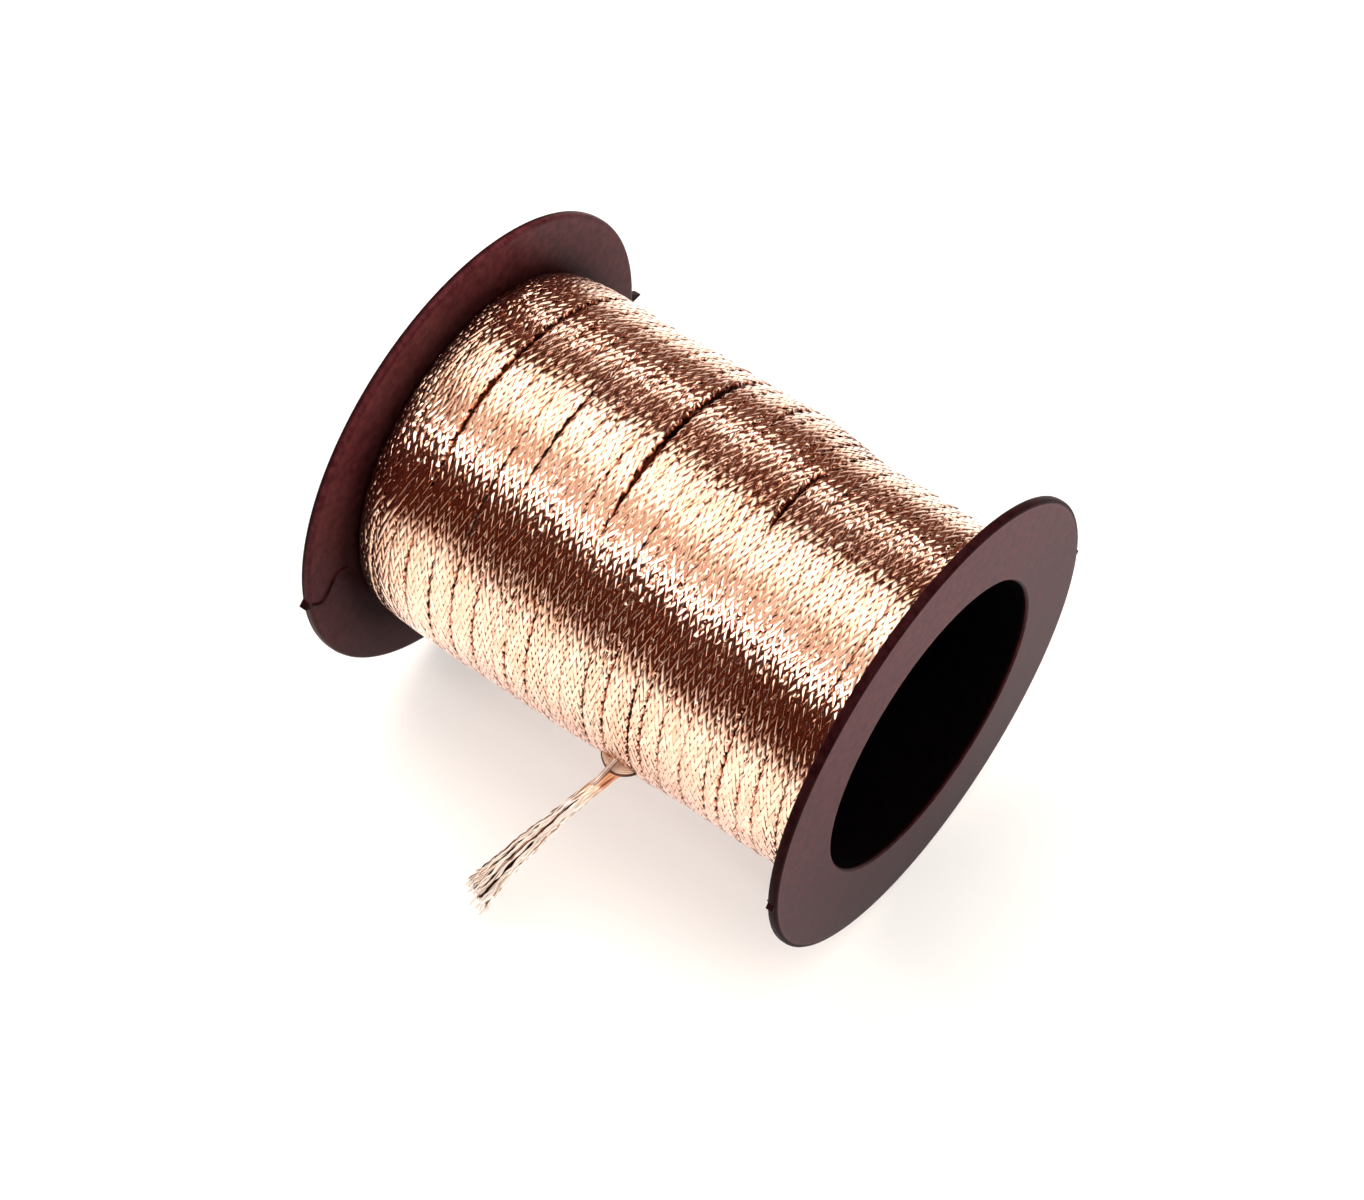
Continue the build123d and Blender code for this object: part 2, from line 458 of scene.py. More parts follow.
# Sections of a strand: (across, up) of each corner, in shares of its half sizes
ROUND_SECTION = [(0.87, 0.5), (0.0, 1.0), (-0.87, 0.5), (-0.87, -0.5), (0.0, -1.0), (0.87, -0.5)]
BAND_SECTION = [(1.0, 0.0), (0.70, 1.0), (-0.70, 1.0), (-1.0, 0.0), (-0.6, -1.0), (0.6, -1.0)]
STRAND_UV_SCALE = (0.3, 0.8)


def pushed_under(points, left_edge, right_edge):
    """Strand corners kept within their turn: those past its left edge are drawn in to it, and
    those past its right edge sink under the next turn. Returns them and how far each sank."""
    past_left = np.clip(left_edge[..., None] - points[..., 0], 0, None)
    sunk = smooth_step((points[..., 0] - right_edge[..., None]) / TUCK_WIDTH)
    radial = points - [0, 0, AXIS_Z]
    radial[..., 0] = 0
    radial = unit(radial)
    points = points - radial * (TUCK_DEPTH * sunk + DRAWN_IN_SLOPE * past_left)[..., None]
    points[..., 0] += past_left
    return points, sunk


def ring_quads(base, corner, sides):
    """Quads from each ring of corners to the next one."""
    following = (corner + 1) % sides
    quads = [base + corner, base + following, base + following + sides, base + corner + sides]
    return np.stack(quads, -1).reshape(-1, 4)


def ribbons(name, centres, outward, half_width, half_thickness, tone, depth, section, edges=None):
    """Closed strands with one section. centres and outward are (strands, steps, 3); the sizes,
    tone and depth (strands, steps). edges are the x of both edges of each step's turn."""
    sides = len(section)
    count, steps = centres.shape[:2]
    along = unit(np.gradient(centres, axis=1))
    across = unit(np.cross(along, outward))
    up = np.cross(across, along)
    side_part = np.array([corner[0] for corner in section])
    up_part = np.array([corner[1] for corner in section])
    points = (
        centres[:, :, None, :]
        + across[:, :, None, :] * (half_width[:, :, None] * side_part)[..., None]
        + up[:, :, None, :] * (half_thickness[:, :, None] * up_part)[..., None]
    )
    sunk = 0
    if edges is not None:
        points, sunk = pushed_under(points, *edges)
    first = (np.arange(count) * steps * sides)[:, None, None]
    ring = (np.arange(steps - 1) * sides)[None, :, None]
    quads = ring_quads(first + ring, np.arange(sides)[None, None, :], sides)
    start = np.arange(count)[:, None] * steps * sides
    end = start + (steps - 1) * sides
    half = sides // 2
    caps = []
    for low in range(half - 1):
        ring_corners = np.array([low, low + 1, sides - 2 - low, sides - 1 - low])
        caps.append(start + ring_corners[::-1])
        caps.append(end + ring_corners)
    quads = np.concatenate([quads] + caps)
    run = np.linalg.norm(np.diff(centres, axis=1), axis=-1)
    run = np.concatenate([np.zeros((count, 1)), np.cumsum(run, axis=1)], 1) / MM
    uv = np.empty((count, steps, sides, 2))
    uv[..., 0] = run[:, :, None] * STRAND_UV_SCALE[0]
    uv[..., 1] = side_part[None, None, :] * STRAND_UV_SCALE[1]
    strand = np.empty((count, steps, sides, 2))
    strand[..., 0] = tone[:, :, None]
    # Painted shade on a strand's lower side and where it sinks under the next turn
    lowered = depth[:, :, None] + SIDE_PAINTED_SHADE * (up_part - 1) - SUNK_PAINTED_SHADE * sunk
    strand[..., 1] = np.clip(lowered, 0, 1)
    return quad_mesh(name, points.reshape(-1, 3), quads, uv.reshape(-1, 2), strand.reshape(-1, 2))


def lathe_arrays(outline, segments):
    """A closed ring: an outline of (x, radius) points turned round the spool's axis."""
    angles = 2 * np.pi * np.arange(segments) / segments
    x = outline[:, 0][:, None] + 0 * angles[None, :]
    y = outline[:, 1][:, None] * np.cos(angles)
    z = outline[:, 1][:, None] * np.sin(angles) + AXIS_Z
    points = np.stack([x, y, z], -1).reshape(-1, 3)
    row = np.arange(len(outline))[:, None]
    column = np.arange(segments)[None, :]
    next_row = (row + 1) % len(outline)
    next_column = (column + 1) % segments
    quads = np.stack(
        [
            row * segments + column,
            next_row * segments + column,
            next_row * segments + next_column,
            row * segments + next_column,
        ],
        -1,
    )
    return points, quads.reshape(-1, 4)


def join_arrays(*parts):
    """One (points, quads) pair from several."""
    points = np.concatenate([part[0] for part in parts])
    starts = np.cumsum([0] + [len(part[0]) for part in parts[:-1]])
    quads = np.concatenate([part[1] + start for part, start in zip(parts, starts)])
    return points, quads


def round_axis(x, radius, angle):
    """Points at (x, radius, angle in degrees) round the spool's axis."""
    turned = np.radians(angle)
    return np.stack([x + 0 * turned, radius * np.cos(turned), radius * np.sin(turned) + AXIS_Z], -1)


BOX_QUADS = np.array([
    [0, 1, 2, 3], [7, 6, 5, 4], [0, 4, 5, 1], [1, 5, 6, 2], [2, 6, 7, 3], [3, 7, 4, 0],
])


# =========================================================================================
# the flanges
# =========================================================================================

def flange_outline(side, radius):
    """(depth from the outer face, radius, shade) of a flange's section corners. The shade is
    painted light and shade: a dark outline painted at the rim, painted shade in the hole and
    beside the winding, and painted highlight lines inside the rim and along the bore's chamfer.
    The left flange's rim is dark at its outer face only."""
    band = radius - RIM_ROUND - 0.3 * MM
    rim = [
        (FLANGE_THICKNESS, radius - RIM_ROUND),
        (FLANGE_THICKNESS - 0.15 * RIM_ROUND, radius - 0.42 * RIM_ROUND),
        (FLANGE_THICKNESS - 0.50 * RIM_ROUND, radius - 0.12 * RIM_ROUND),
        (FLANGE_THICKNESS - RIM_ROUND, radius),
        (RIM_ROUND, radius),
        (0.50 * RIM_ROUND, radius - 0.12 * RIM_ROUND),
        (0.15 * RIM_ROUND, radius - 0.42 * RIM_ROUND),
        (0, radius - RIM_ROUND),
    ]
    inner_rim_shade = LEFT_INNER_RIM_PAINTED_SHADE if side < 0 else RIM_PAINTED_SHADE
    rim_shades = [inner_rim_shade] * 4 + [RIM_PAINTED_SHADE] * 4
    # Painted shade beside the winding, lighter towards the rim
    inner_face = [
        (FLANGE_THICKNESS, TOP_RADIUS + 0.6 * MM, 0.26),
        (FLANGE_THICKNESS, TOP_RADIUS + 3.5 * MM, 0.55),
        (FLANGE_THICKNESS, band, 0.85),
    ]
    # A painted highlight line just inside the rim of the outer face
    outer_face = [(0, band, 1.0), (0, band - 0.4 * MM, 0.8)]
    rim = [(*corner, shade) for corner, shade in zip(rim, rim_shades)]
    rim = inner_face + rim + outer_face
    # A painted highlight line along the bore's chamfer, and painted shade down the hole
    bore = [
        (0, BORE_RADIUS + BORE_CHAMFER + 0.3 * MM, 0.8),
        (0, BORE_RADIUS + BORE_CHAMFER, 1.0),
        (BORE_CHAMFER, BORE_RADIUS, 0.2),
    ]
    # Painted shade in the tube's seat
    seat = [
        (SEAT_FLOOR, BORE_RADIUS, 0.1),
        (SEAT_FLOOR, SEAT_RADIUS, 0.1),
        (FLANGE_THICKNESS, SEAT_RADIUS, 0.2),
    ]
    return np.array(rim + bore + seat)


def flash_spike(side, radius, angle, reach, lean):
    """A thin spike of flash where the mould's parting line meets the rim. Its half widths at
    root and tip, and its lean, are in degrees."""
    inset = 0.2 * MM
    inner = side * (OUTER_FACE_X - FLANGE_THICKNESS + inset)
    outer = side * (OUTER_FACE_X - inset)
    root = radius - RIM_ROUND
    tip = radius + reach
    corners = []
    for r, half, shift in ((root, 1.8, 0), (tip, 0.14, lean)):
        for x, way in ((inner, -1), (inner, 1), (outer, 1), (outer, -1)):
            corners.append(round_axis(x, r, np.array(angle + shift + way * half)))
    return np.array(corners), BOX_QUADS


def parting_ridge(side, radius, angle):
    """The low wavering ridge of the parting line on a flange's inner face."""
    steps = 24
    share = np.linspace(0, 1, steps)
    reach = TOP_RADIUS + (radius - RIM_ROUND - TOP_RADIUS) * share
    turned = angle - 2.5 * np.sin(2 * np.pi * share)
    x = side * (OUTER_FACE_X - FLANGE_THICKNESS)
    half = np.degrees(0.35 * MM / reach)
    rows = [
        round_axis(x + side * RIDGE_HEIGHT, reach, turned - 1.4 * half),
        round_axis(x - side * RIDGE_HEIGHT, reach, turned - 0.5 * half),
        round_axis(x - side * RIDGE_HEIGHT, reach, turned + 0.5 * half),
        round_axis(x + side * RIDGE_HEIGHT, reach, turned + 1.4 * half),
    ]
    points = np.stack(rows, 1).reshape(-1, 3)
    quads = ring_quads(4 * np.arange(steps - 1)[:, None], np.arange(4)[None, :], 4)
    ends = np.array([[3, 2, 1, 0], [0, 1, 2, 3]]) + np.array([[0], [4 * (steps - 1)]])
    return points, np.concatenate([quads, ends])


def flange(side, radius, spikes):
    """A flange's points, quads and shades; side is -1 at the left and 1 at the right. Each
    spike is (angle, reach, lean)."""
    outline = flange_outline(side, radius)
    outline[:, 0] = side * (OUTER_FACE_X - outline[:, 0])
    parts = [lathe_arrays(outline[:, :2], FLANGE_SEGMENTS)]
    shades = [np.repeat(outline[:, 2], FLANGE_SEGMENTS)]
    for angle, reach, lean in spikes:
        parts.append(flash_spike(side, radius, angle, reach, lean))
        shades.append(np.full(len(parts[-1][0]), RIM_PAINTED_SHADE))
        parts.append(parting_ridge(side, radius, angle))
        shades.append(np.full(len(parts[-1][0]), RIDGE_PAINTED_SHADE))
    return *join_arrays(*parts), np.concatenate(shades)


def add_flanges(material):
    left = flange(-1, LEFT_FLANGE_RADIUS, [(180.4, 0.9 * MM, 0.2), (355.5, 2.4 * MM, -1.2)])
    right = flange(1, RIGHT_FLANGE_RADIUS, [(181, 0.5 * MM, 0.5), (2, 0.5 * MM, 0)])
    for name, (points, quads, shade) in (("left_flange", left), ("right_flange", right)):
        mesh = quad_mesh(name + "_disc", points, quads, strand=np.stack([shade, shade], -1))
        mesh.set_sharp_from_angle(angle=math.radians(35))
        piece = add_object(name + "_disc", mesh, material)
        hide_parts(name)


# =========================================================================================
# the free end: its bundles, its loose wires and the hitch that holds it
# =========================================================================================

def route_points():
    """Points along the tail's smooth line, read from one open NURBS spline."""
    curve = bpy.data.curves.new("tail_route", "CURVE")
    curve.dimensions = "3D"
    curve.resolution_u = 24
    spline = curve.splines.new("NURBS")
    spline.points.add(len(TAIL_ROUTE) - 1)
    for point, place in zip(spline.points, TAIL_ROUTE):
        point.co = (*(value * MM for value in place), 1)
    spline.order_u = 3
    spline.use_endpoint_u = True
    holder = bpy.data.objects.new("tail_route", curve)
    bpy.context.scene.collection.objects.link(holder)
    line = bpy.data.meshes.new_from_object(holder)
    points = np.array([vertex.co for vertex in line.vertices])
    bpy.data.objects.remove(holder)
    bpy.data.meshes.remove(line)
    return points


def resample(points, shares):
    """Points at the given shares of a line's length."""
    run = np.concatenate([[0], np.cumsum(np.linalg.norm(np.diff(points, axis=0), axis=1))])
    return np.stack([np.interp(shares * run[-1], run, points[:, axis]) for axis in range(3)], -1)


def route_frame(points):
    along = unit(np.gradient(points, axis=0))
    sideways = unit(np.cross(along, [0, 0, 1.0]))
    return along, sideways, np.cross(sideways, along)


def tail_bundles(route):
    """The braid's carriers, each a flat bundle of wires: most round the outside, crimped from
    the weave and loosening towards the tip, some of them narrower and painted darker as lines
    of shade between bundles, and some inside painted dark as shade."""
    steps = 90
    share = np.linspace(0, 1, steps)
    line = resample(route, share)
    along, sideways, upright = route_frame(line)
    number = np.arange(TAIL_BUNDLES)[:, None]
    inner = number % 4 == 3
    shade_lined = number % 7 == 2
    start_angle = 2 * np.pi * 5 * number / TAIL_BUNDLES + rng.uniform(-0.15, 0.15, (TAIL_BUNDLES, 1))
    twist = np.where(number % 2 == 0, 1, -1) * rng.uniform(0.3, 1.0, (TAIL_BUNDLES, 1))
    angle = start_angle + twist * share
    fill = np.where(inner, 0.5, 1.0) * rng.uniform(0.9, 1.0, (TAIL_BUNDLES, 1))
    wide = np.interp(share, [0, 0.12, 0.45, 0.8, 1.0], [1.1, 1.0, 1.5, 2.3, 2.8]) * MM
    high = np.interp(share, [0, 0.12, 0.45, 0.8, 1.0], [0.9, 0.85, 0.95, 1.0, 1.0]) * MM
    waves = np.zeros((TAIL_BUNDLES, steps, 2))
    for cycles, size in ((2.3, 0.10), (6.5, 0.13), (10, 0.06)):
        phase = rng.uniform(0, 2 * np.pi, (TAIL_BUNDLES, 1, 2))
        waves += size * MM * np.sin(2 * np.pi * cycles * share[None, :, None] + phase)
    waves *= 0.35 + share[None, :, None]
    side = fill * np.cos(angle) * wide + waves[..., 0]
    rise = fill * np.sin(angle) * high + 0.5 * waves[..., 1]
    centres = line[None] + sideways[None] * side[..., None] + upright[None] * rise[..., None]
    outward = 0.6 * sideways[None] * np.cos(angle)[..., None] + upright[None] * np.sin(angle)[..., None]
    outward = unit(outward)
    half_width = BUNDLE_WIDTH / 2 * (1 + 0.25 * np.sin(2 * np.pi * 6.5 * share + 6.3 * number / 7))
    half_width = half_width * np.where(shade_lined, 0.7, 1.0)
    half_thickness = np.full(half_width.shape, BUNDLE_THICKNESS / 2)
    tone = np.clip(5 * share - 0.5 + rng.uniform(-0.4, 0.4, (TAIL_BUNDLES, 1)), 0, 1)
    # Painted shade: inner bundles nearly black, the shade-line bundles darker, through the crevice shade
    # ramp
    depth = np.where(inner, 0.02, np.where(shade_lined, 0.3, 0.95)) + 0 * share
    shapes = (centres, outward, half_width, half_thickness, tone, depth)
    return ribbons("braid_tail_bundles", *shapes, BAND_SECTION)


def stray_wires(route):
    """Loose wires that leave the tail before its tip and spread round its end."""
    steps = 30
    start_share = rng.uniform(0.62, 0.8, FRAYED_WIRES)
    over = np.linspace(0, 1, steps)
    reach = rng.uniform(0.92, 1.07, FRAYED_WIRES)
    along, sideways, upright = route_frame(route)
    end_along = along[-1]
    tail_length = 33 * MM
    centres = np.empty((FRAYED_WIRES, steps, 3))
    for index in range(FRAYED_WIRES):
        share = start_share[index] + (reach[index] - start_share[index]) * over
        base = resample(route, np.clip(share, 0, 1))
        base += end_along * (np.clip(share - 1, 0, None) * tail_length)[:, None]
        angle = 2 * np.pi * index / FRAYED_WIRES + rng.uniform(-0.2, 0.2)
        spread = (1.3 + rng.uniform(0.2, 1.5) * over) * MM
        ripple = 0.2 * MM * over * np.sin(2 * np.pi * rng.uniform(1.0, 2.2) * over + rng.uniform(0, 6.3))
        side = math.cos(angle) * spread * 1.15 + ripple
        rise = math.sin(angle) * spread * 0.55 + 0.5 * ripple
        centres[index] = base + sideways[-1] * side[:, None] + upright[-1] * rise[:, None]
    centres[..., 2] = np.maximum(centres[..., 2], LOWEST_WIRE)
    outward = np.zeros_like(centres)
    outward[..., 2] = 1
    radius = np.full((FRAYED_WIRES, steps), LOOSE_WIRE_RADIUS)
    tone = np.repeat(rng.uniform(0.5, 1, (FRAYED_WIRES, 1)), steps, 1)
    depth = np.ones((FRAYED_WIRES, steps)) * 0.95
    return ribbons("frayed_wire_ends", centres, outward, radius, radius, tone, depth, ROUND_SECTION)


def hitch_wires():
    """The loop of braid at the tail's root: nested arcs that leave a slot between two turns
    and go back down between the next two, with a few wires of the tail laid over them."""
    low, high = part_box("hitch_loop")
    steps = 28
    share = np.linspace(0, 1, steps)
    nest = np.linspace(0.12, 1, HITCH_WIRES)[:, None]
    arch = np.sin(np.pi * share) ** 0.7
    foot = TOP_RADIUS - 0.7 * MM
    crest = math.hypot(low.y, (low.z + high.z) / 2 - AXIS_Z) - 0.4 * MM
    x = (low.x + high.x) / 2 + (high.x - low.x) / 2 * (2 * share - 1) * (0.55 + 0.45 * nest)
    radius = foot + (crest - foot) * arch * nest
    middle_angle = math.atan2((low.z + high.z) / 2 - AXIS_Z, (low.y + high.y) / 2)
    angle = middle_angle + rng.uniform(-0.3, 0.3, (HITCH_WIRES, 1)) * MM / TOP_RADIUS + 0 * x
    # Painted shade: the outermost arc is a dark outline, and the arcs darken towards their feet
    depth = np.where(nest > 0.94, 0.3, 1.0) - 0.3 * (1 - arch)
    tone = rng.uniform(0.25, 0.55, (HITCH_WIRES, 1)) + 0 * x

    over = rng.uniform(-1, 1, (KEEPER_WIRES, 1))
    keeper_x = (7.9 - 2.4 * share + 0.5 * over) * MM
    climb = np.sin(np.pi * np.clip(0.75 * share, 0, 0.5))
    keeper_radius = (30.6 + 3.4 * climb + 1.6 * share + 0.15 * over ** 2) * MM
    keeper_angle = np.radians(195.5 + 7 * share) + 0 * over
    x = np.concatenate([x, keeper_x])
    radius = np.concatenate([radius, keeper_radius])
    angle = np.concatenate([angle, keeper_angle])
    # Painted shade towards the sides of the keeper wires, and the lightest tone on them as a painted
    # highlight
    depth = np.clip(np.concatenate([depth, 0.2 + 0.8 * (1 - np.abs(over)) + 0 * keeper_x]), 0, 1)
    tone = np.concatenate([tone, 1 + 0 * keeper_x])
    centres = np.stack([x, radius * np.cos(angle), radius * np.sin(angle) + AXIS_Z], -1)
    # The section's top, free of painted shade, faces this way; its lower side carries the painted shade
    lit_side = angle - 1.4
    outward = np.stack([0 * x, np.cos(lit_side), np.sin(lit_side)], -1)
    wire_radius = np.full(x.shape, LOOSE_WIRE_RADIUS)
    shapes = (centres, outward, wire_radius, wire_radius, tone, depth)
    return ribbons("hitch_loop_wires", *shapes, ROUND_SECTION)


def add_free_end(material):
    route = route_points()
    tail = add_object("braid_tail_bundles", tail_bundles(route), material)
    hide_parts("braid_tail")
    ends = add_object("frayed_wire_ends", stray_wires(route), material)
    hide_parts("frayed_wires")
    hitch = add_object("hitch_loop_wires", hitch_wires(), material)
    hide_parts("hitch_loop")


# =========================================================================================
# the winding
# =========================================================================================

turn_left_x = np.concatenate([[0], np.cumsum(TURN_STEPS)]) * MM - INNER_FACE_X + 0.1 * MM
TURN_COUNT = len(turn_left_x)


def winding_radius(x, angle):
    """Outside radius of the winding: two layers at the right and a third on top of them at
    the left, a little slack and lumpy, and drawn in beside the flanges."""
    shoulder = smooth_step((x - SHOULDER_START_X) / SHOULDER_LENGTH)
    radius = TOP_RADIUS + (SECOND_RADIUS - 0.1 * MM - TOP_RADIUS) * shoulder
    radius = radius + SLACK * (1 - shoulder) * np.cos(angle - math.radians(SLACK_ANGLE))
    radius = radius + 0.09 * MM * np.sin(3 * angle + x / (7 * MM))
    radius = radius + 0.06 * MM * np.sin(5 * angle - x / (3.1 * MM))
    left_wall = np.clip(x + INNER_FACE_X, 0, None)
    right_wall = np.clip(INNER_FACE_X - x, 0, None)
    front = 0.5 - 0.5 * np.cos(angle - math.radians(340))
    left_dip = (LEFT_DIP + LEFT_DIP_AT_FRONT * front) * MM
    radius = radius - left_dip * np.exp(-left_wall / LEFT_DIP_LENGTH)
    return radius - RIGHT_DIP * np.exp(-right_wall / RIGHT_DIP_LENGTH)


def stretch_share(angle_degrees, first, last):
    """1 in the middle of a stretch of angles, tapering to 0 at both ends."""
    reach = (last - first) / 2
    away = np.abs(angle_degrees - (first + last) / 2) / reach
    return np.clip(1.25 * (1 - away ** 2), 0, 1) * (away < 1)


def turn_left_edge(turn, degrees):
    """x of a turn's left edge. The turn runs square to the axis, and steps over to its own
    place from the one before under the spool, just after its start."""
    turn = np.clip(turn, 0, TURN_COUNT - 1)
    before = np.clip(turn - 1, 0, TURN_COUNT - 1)
    eased = smooth_step((degrees - JOG_START) / JOG_LENGTH)
    x = turn_left_x[before] + (turn_left_x[turn] - turn_left_x[before]) * eased
    radians = np.radians(degrees)
    inside = 1 - np.abs(x) / INNER_FACE_X
    wander = 0.16 * np.sin(2 * radians + 1.7 * turn) + 0.10 * np.sin(5 * radians + 2.9 * turn)
    return x + wander * MM * np.clip(4 * inside, 0, 1)


def crease_width(right_turn, degrees):
    """How wide a dark line shows at the left of a turn."""
    width = np.zeros_like(degrees)
    for turn, first, last, widest in CREASES:
        share = stretch_share(degrees - 360, first, last)
        width = width + np.where(right_turn == turn, share * widest * MM, 0)
    return width


def weave(phase):
    """+1 over two crossings and -1 under the next two, with quick passes between."""
    wave = np.cos(2 * np.pi * (phase - 0.5) / CARRIERS_PER_CYCLE)
    return np.tanh(0.9 * wave) / math.tanh(0.9)


def braid_section(travel):
    """Place across a flattened tube of braid, for a travel that starts low on its left edge,
    passes over its top and ends low on its right edge: its distance from the left edge, its
    height over the edges' middle, the tilt of its outside, and the whole way across."""
    edge = BRAID_EDGE_RADIUS
    corner = edge * math.radians(115)
    flat = BRAID_WIDTH - 2 * edge
    left_angle = math.radians(205) - np.clip(travel, 0, corner) / edge
    right_angle = math.radians(90) - np.clip(travel - corner - flat, 0, corner) / edge
    across = edge + edge * np.cos(left_angle)
    across = across + np.clip(travel - corner, 0, flat)
    across = across + edge * np.cos(right_angle)
    height = np.where(travel < corner + flat, edge * np.sin(left_angle), edge * np.sin(right_angle))
    tilt = np.where(travel > corner + flat, right_angle, np.pi / 2)
    tilt = np.where(travel < corner, left_angle, tilt)
    return across, height, tilt, 2 * corner + flat


def winding_turns(name, first_turn, last_turn):
    """The strands that show on some neighbouring turns, as one mesh."""
    total = braid_section(np.zeros(1))[3]
    pass_length = total / BRAID_SLOPE
    turn_length = 2 * np.pi * TOP_RADIUS
    first = int(first_turn * turn_length / CARRIER_SPACING)
    last = int(last_turn * turn_length / CARRIER_SPACING)
    meshes = []
    share = np.linspace(0, 1, STRAND_STEPS)
    for way in (1, -1):
        index = np.arange(first, last)
        start = index * CARRIER_SPACING
        middle_turn = (start + pass_length / 2) / turn_length
        step = np.interp(np.floor(middle_turn), np.arange(TURN_COUNT - 1), TURN_STEPS) * MM
        shown = np.minimum(total, step + HIDDEN_RUN)
        travel = shown[:, None] * share[None, :]
        if way < 0:
            travel = travel[:, ::-1]
            distance = start[:, None] + (total - travel) / BRAID_SLOPE
        else:
            distance = start[:, None] + travel / BRAID_SLOPE
        crossing = (2 * distance - pass_length) / CARRIER_SPACING
        phase = crossing - 2 * index[:, None] if way > 0 else 2 * index[:, None] - crossing
        over = way * weave(phase)
        meshes.append(strand_shapes(index, travel, distance, over, turn_length))
    *shapes, left_edge, right_edge = [np.concatenate(group) for group in zip(*meshes)]
    return ribbons(name, *shapes, BAND_SECTION, edges=(left_edge, right_edge))


def strand_shapes(index, travel, distance, over, turn_length):
    """Centres, outward directions, sizes and the edges of their turn, for strands given by
    their travel across the braid and their distance along it."""
    count, steps = travel.shape
    across, height, tilt, total = braid_section(travel)
    along_turns = distance / turn_length
    turn = np.floor(along_turns).astype(int)
    degrees = TURN_START + 360 * (along_turns - turn)
    left = turn_left_edge(turn, degrees)
    next_left = turn_left_edge(turn + 1, degrees)
    next_left = np.where(turn + 1 >= TURN_COUNT, left + BRAID_WIDTH, next_left)
    crease = crease_width(turn + 1, degrees)
    closed = 1 - np.clip(crease / (0.15 * MM), 0, 1)
    right_edge = next_left + (0.20 * closed - 0.08) * MM - crease

    jitter = rng.normal(0, 1, (count, 6))
    wave = np.sin(distance / (2.3 * MM) + 6.3 * jitter[:, :1])
    slow = np.sin(distance / (5.1 * MM) + 6.3 * jitter[:, 1:2])
    x = left + across + 0.035 * MM * jitter[:, 2:3] + 0.03 * MM * wave
    x = np.clip(x, -INNER_FACE_X + WALL_CLEARANCE, INNER_FACE_X - WALL_CLEARANCE)
    radians = np.radians(degrees)
    crown = 0.10 * MM * (2 * across / BRAID_WIDTH - 1) ** 2
    radius = winding_radius(x, radians) - BRAID_EDGE_RADIUS + height - crown
    radius = radius + WEAVE_HEIGHT * over + 0.010 * MM * jitter[:, 3:4] + 0.012 * MM * slow
    centres = np.stack([x, radius * np.cos(radians), radius * np.sin(radians) + AXIS_Z], -1)
    lean = np.cos(tilt) + 0.06 * jitter[:, 4:5]
    rise = np.sin(tilt)
    outward = unit(np.stack([lean, rise * np.cos(radians), rise * np.sin(radians)], -1))

    open_weave = 0.5 + 0.5 * np.sin(x / (11 * MM) + 1.9) * np.cos(2 * radians)
    half_width = STRAND_WIDTH / 2 * (1 + 0.06 * jitter[:, 5:6] + 0.05 * slow - 0.16 * open_weave)
    half_width = half_width * (0.84 + 0.16 * over)
    half_thickness = np.full_like(half_width, STRAND_THICKNESS / 2)
    tone = np.clip(0.5 + 0.25 * jitter[:, :1] + 0.15 * slow, 0, 1)
    # Painted shade: strands are darker where they pass under a crossing and where they curl down over the
    # braid's edges
    depth = np.clip(0.86 + 0.14 * over + 0.5 * np.minimum(height, 0) / BRAID_EDGE_RADIUS, 0, 1)
    return centres, outward, half_width, half_thickness, tone, depth, left, right_edge


def add_winding(material, packed_material):
    for first in range(0, TURN_COUNT, TURNS_PER_PIECE):
        last = min(first + TURNS_PER_PIECE, TURN_COUNT)
        name = f"braid_turns_{first + 1:02d}_to_{last:02d}"
        piece = add_object(name, winding_turns(name, first, last), material)
        on_top = turn_left_x[first] < TOP_LAYER_END_X
        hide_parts("winding_top_layer" if on_top else "winding_layer_2")
    packed = add_object("packed_braid", packed_braid(), packed_material)
    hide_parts("winding_layer_1")


def packed_braid():
    """The wound mass under the turns that show."""
    x = np.linspace(-INNER_FACE_X + 0.02 * MM, INNER_FACE_X - 0.02 * MM, 120)
    outside = winding_radius(x, math.radians(210)) - PACKED_DEPTH
    outside = np.maximum(outside, SEAT_RADIUS + 0.15 * MM)
    outline = np.stack([x, outside], -1)
    inside = np.array([[x[-1], SEAT_RADIUS], [x[0], SEAT_RADIUS]])
    return quad_mesh("packed_braid", *lathe_arrays(np.concatenate([outline, inside]), 160))


# =========================================================================================
# lights and the sheet
# =========================================================================================

def direction(degrees, lean):
    """A unit direction: degrees round the spool's axis, leaning towards -X by lean."""
    flat = math.sqrt(1 - lean * lean)
    angle = math.radians(degrees)
    return Vector((-lean, flat * math.cos(angle), flat * math.sin(angle)))


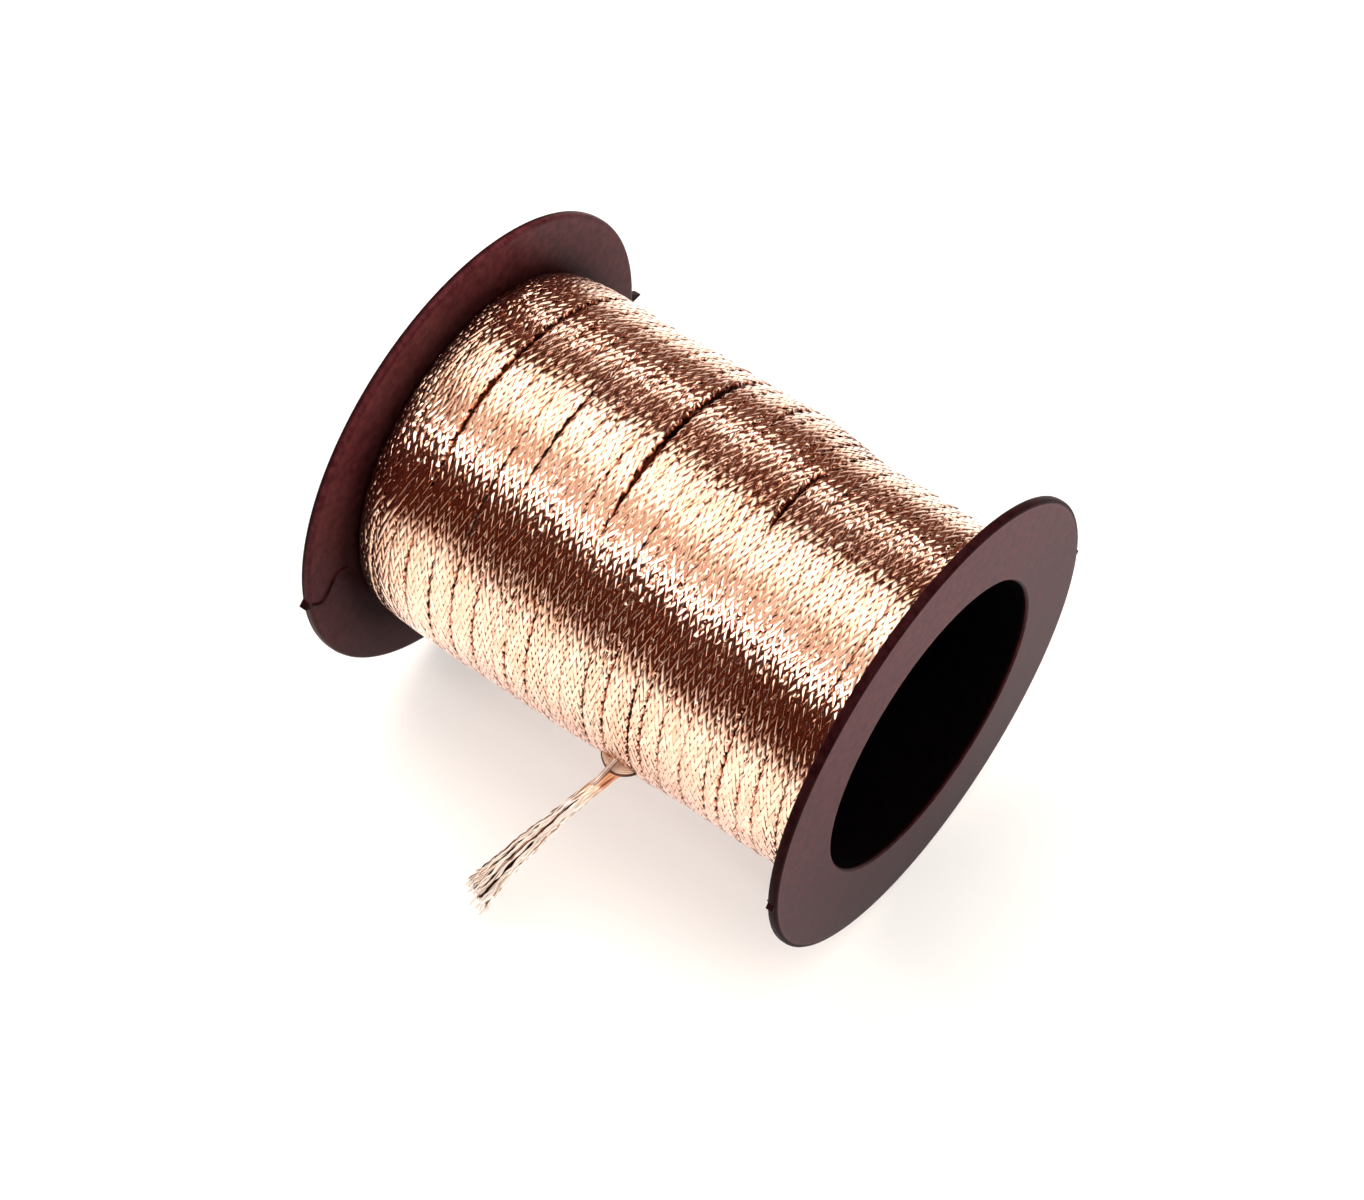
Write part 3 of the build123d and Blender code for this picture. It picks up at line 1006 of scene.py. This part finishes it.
def softbox(name, degrees, arc, distance, length, radiance, color=(1, 1, 1), lean=0.0):
    """A rectangular light that faces the spool, as wide as an arc (in degrees) seen from it."""
    width = 2 * distance * math.tan(math.radians(arc) / 2)
    data = bpy.data.lights.new(name, "AREA")
    data.shape = "RECTANGLE"
    data.size = width
    data.size_y = length
    data.energy = radiance * math.pi * width * length
    data.color = color
    light = bpy.data.objects.new(name, data)
    centre = Vector((0, 0, AXIS_Z))
    toward = direction(degrees, lean)
    light.location = centre + toward * distance
    down = -toward
    long_axis = Vector((1, 0, 0))
    long_axis = (long_axis - down * long_axis.dot(down)).normalized()
    side = long_axis.cross(-down)
    columns = (side, long_axis, -down)
    rows = [[column[axis] for column in columns] + [light.location[axis]] for axis in range(3)]
    light.matrix_world = Matrix(rows + [[0, 0, 0, 1]])
    light.visible_camera = False
    bpy.context.scene.collection.objects.link(light)
    return light


def add_lights():
    softbox("overhead_box", 83, 34, 1.0, 7.0, 2.9, (1.0, 0.97, 0.93))
    softbox("overhead_edge", 112, 23, 1.05, 7.0, 0.92, (1.0, 0.86, 0.76))
    softbox("front_strip", 129, 4.5, 1.1, 6.0, 13.0)
    softbox("back_strip", 31, 4.5, 1.1, 6.0, 7.5)
    softbox("back_card", 26, 54, 1.4, 7.0, 0.09, (1.0, 0.50, 0.36))
    key = softbox("key", 62, 40, 1.5, 1.0, 2.1, (1.0, 0.98, 0.95), lean=0.45)
    key.visible_glossy = False
    world = bpy.data.worlds.new("room")
    world.use_nodes = True
    world.node_tree.nodes["Background"].inputs["Color"].default_value = (1.0, 0.24, 0.14, 1)
    world.node_tree.nodes["Background"].inputs["Strength"].default_value = 0.075
    bpy.context.scene.world = world


def add_sheet():
    half = SHEET_HALF_SIZE
    level = FLANGE_RADIUS - LEFT_FLANGE_RADIUS
    corners = [(-half, -half, level), (half, -half, level), (half, half, level), (-half, half, level)]
    mesh = bpy.data.meshes.new("sheet")
    mesh.from_pydata(corners, [], [(0, 1, 2, 3)])
    mesh.materials.append(sheet_material())
    sheet = bpy.data.objects.new("sheet", mesh)
    bpy.context.scene.collection.objects.link(sheet)


def dress(node, material):
    """Puts a material on a CAD node that stays."""
    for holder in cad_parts[node].material_slots:
        holder.material = material


def main():
    add_camera()
    copper = copper_material("braided_copper", BRAID_TONES)
    loose_look = {"wire_bump": 0.0, "roughness": 0.3, "metallic": 0.35}
    loose_copper = copper_material("loose_copper_wire", LOOSE_TONES, **loose_look)
    packed_copper_painted_shade = packing_material()
    add_free_end(loose_copper)
    add_winding(copper, packed_copper_painted_shade)
    add_flanges(flange_material())
    dress("core_tube", tube_material())
    add_sheet()
    add_lights()
    scene = bpy.context.scene
    scene.view_settings.view_transform = "Standard"


main()
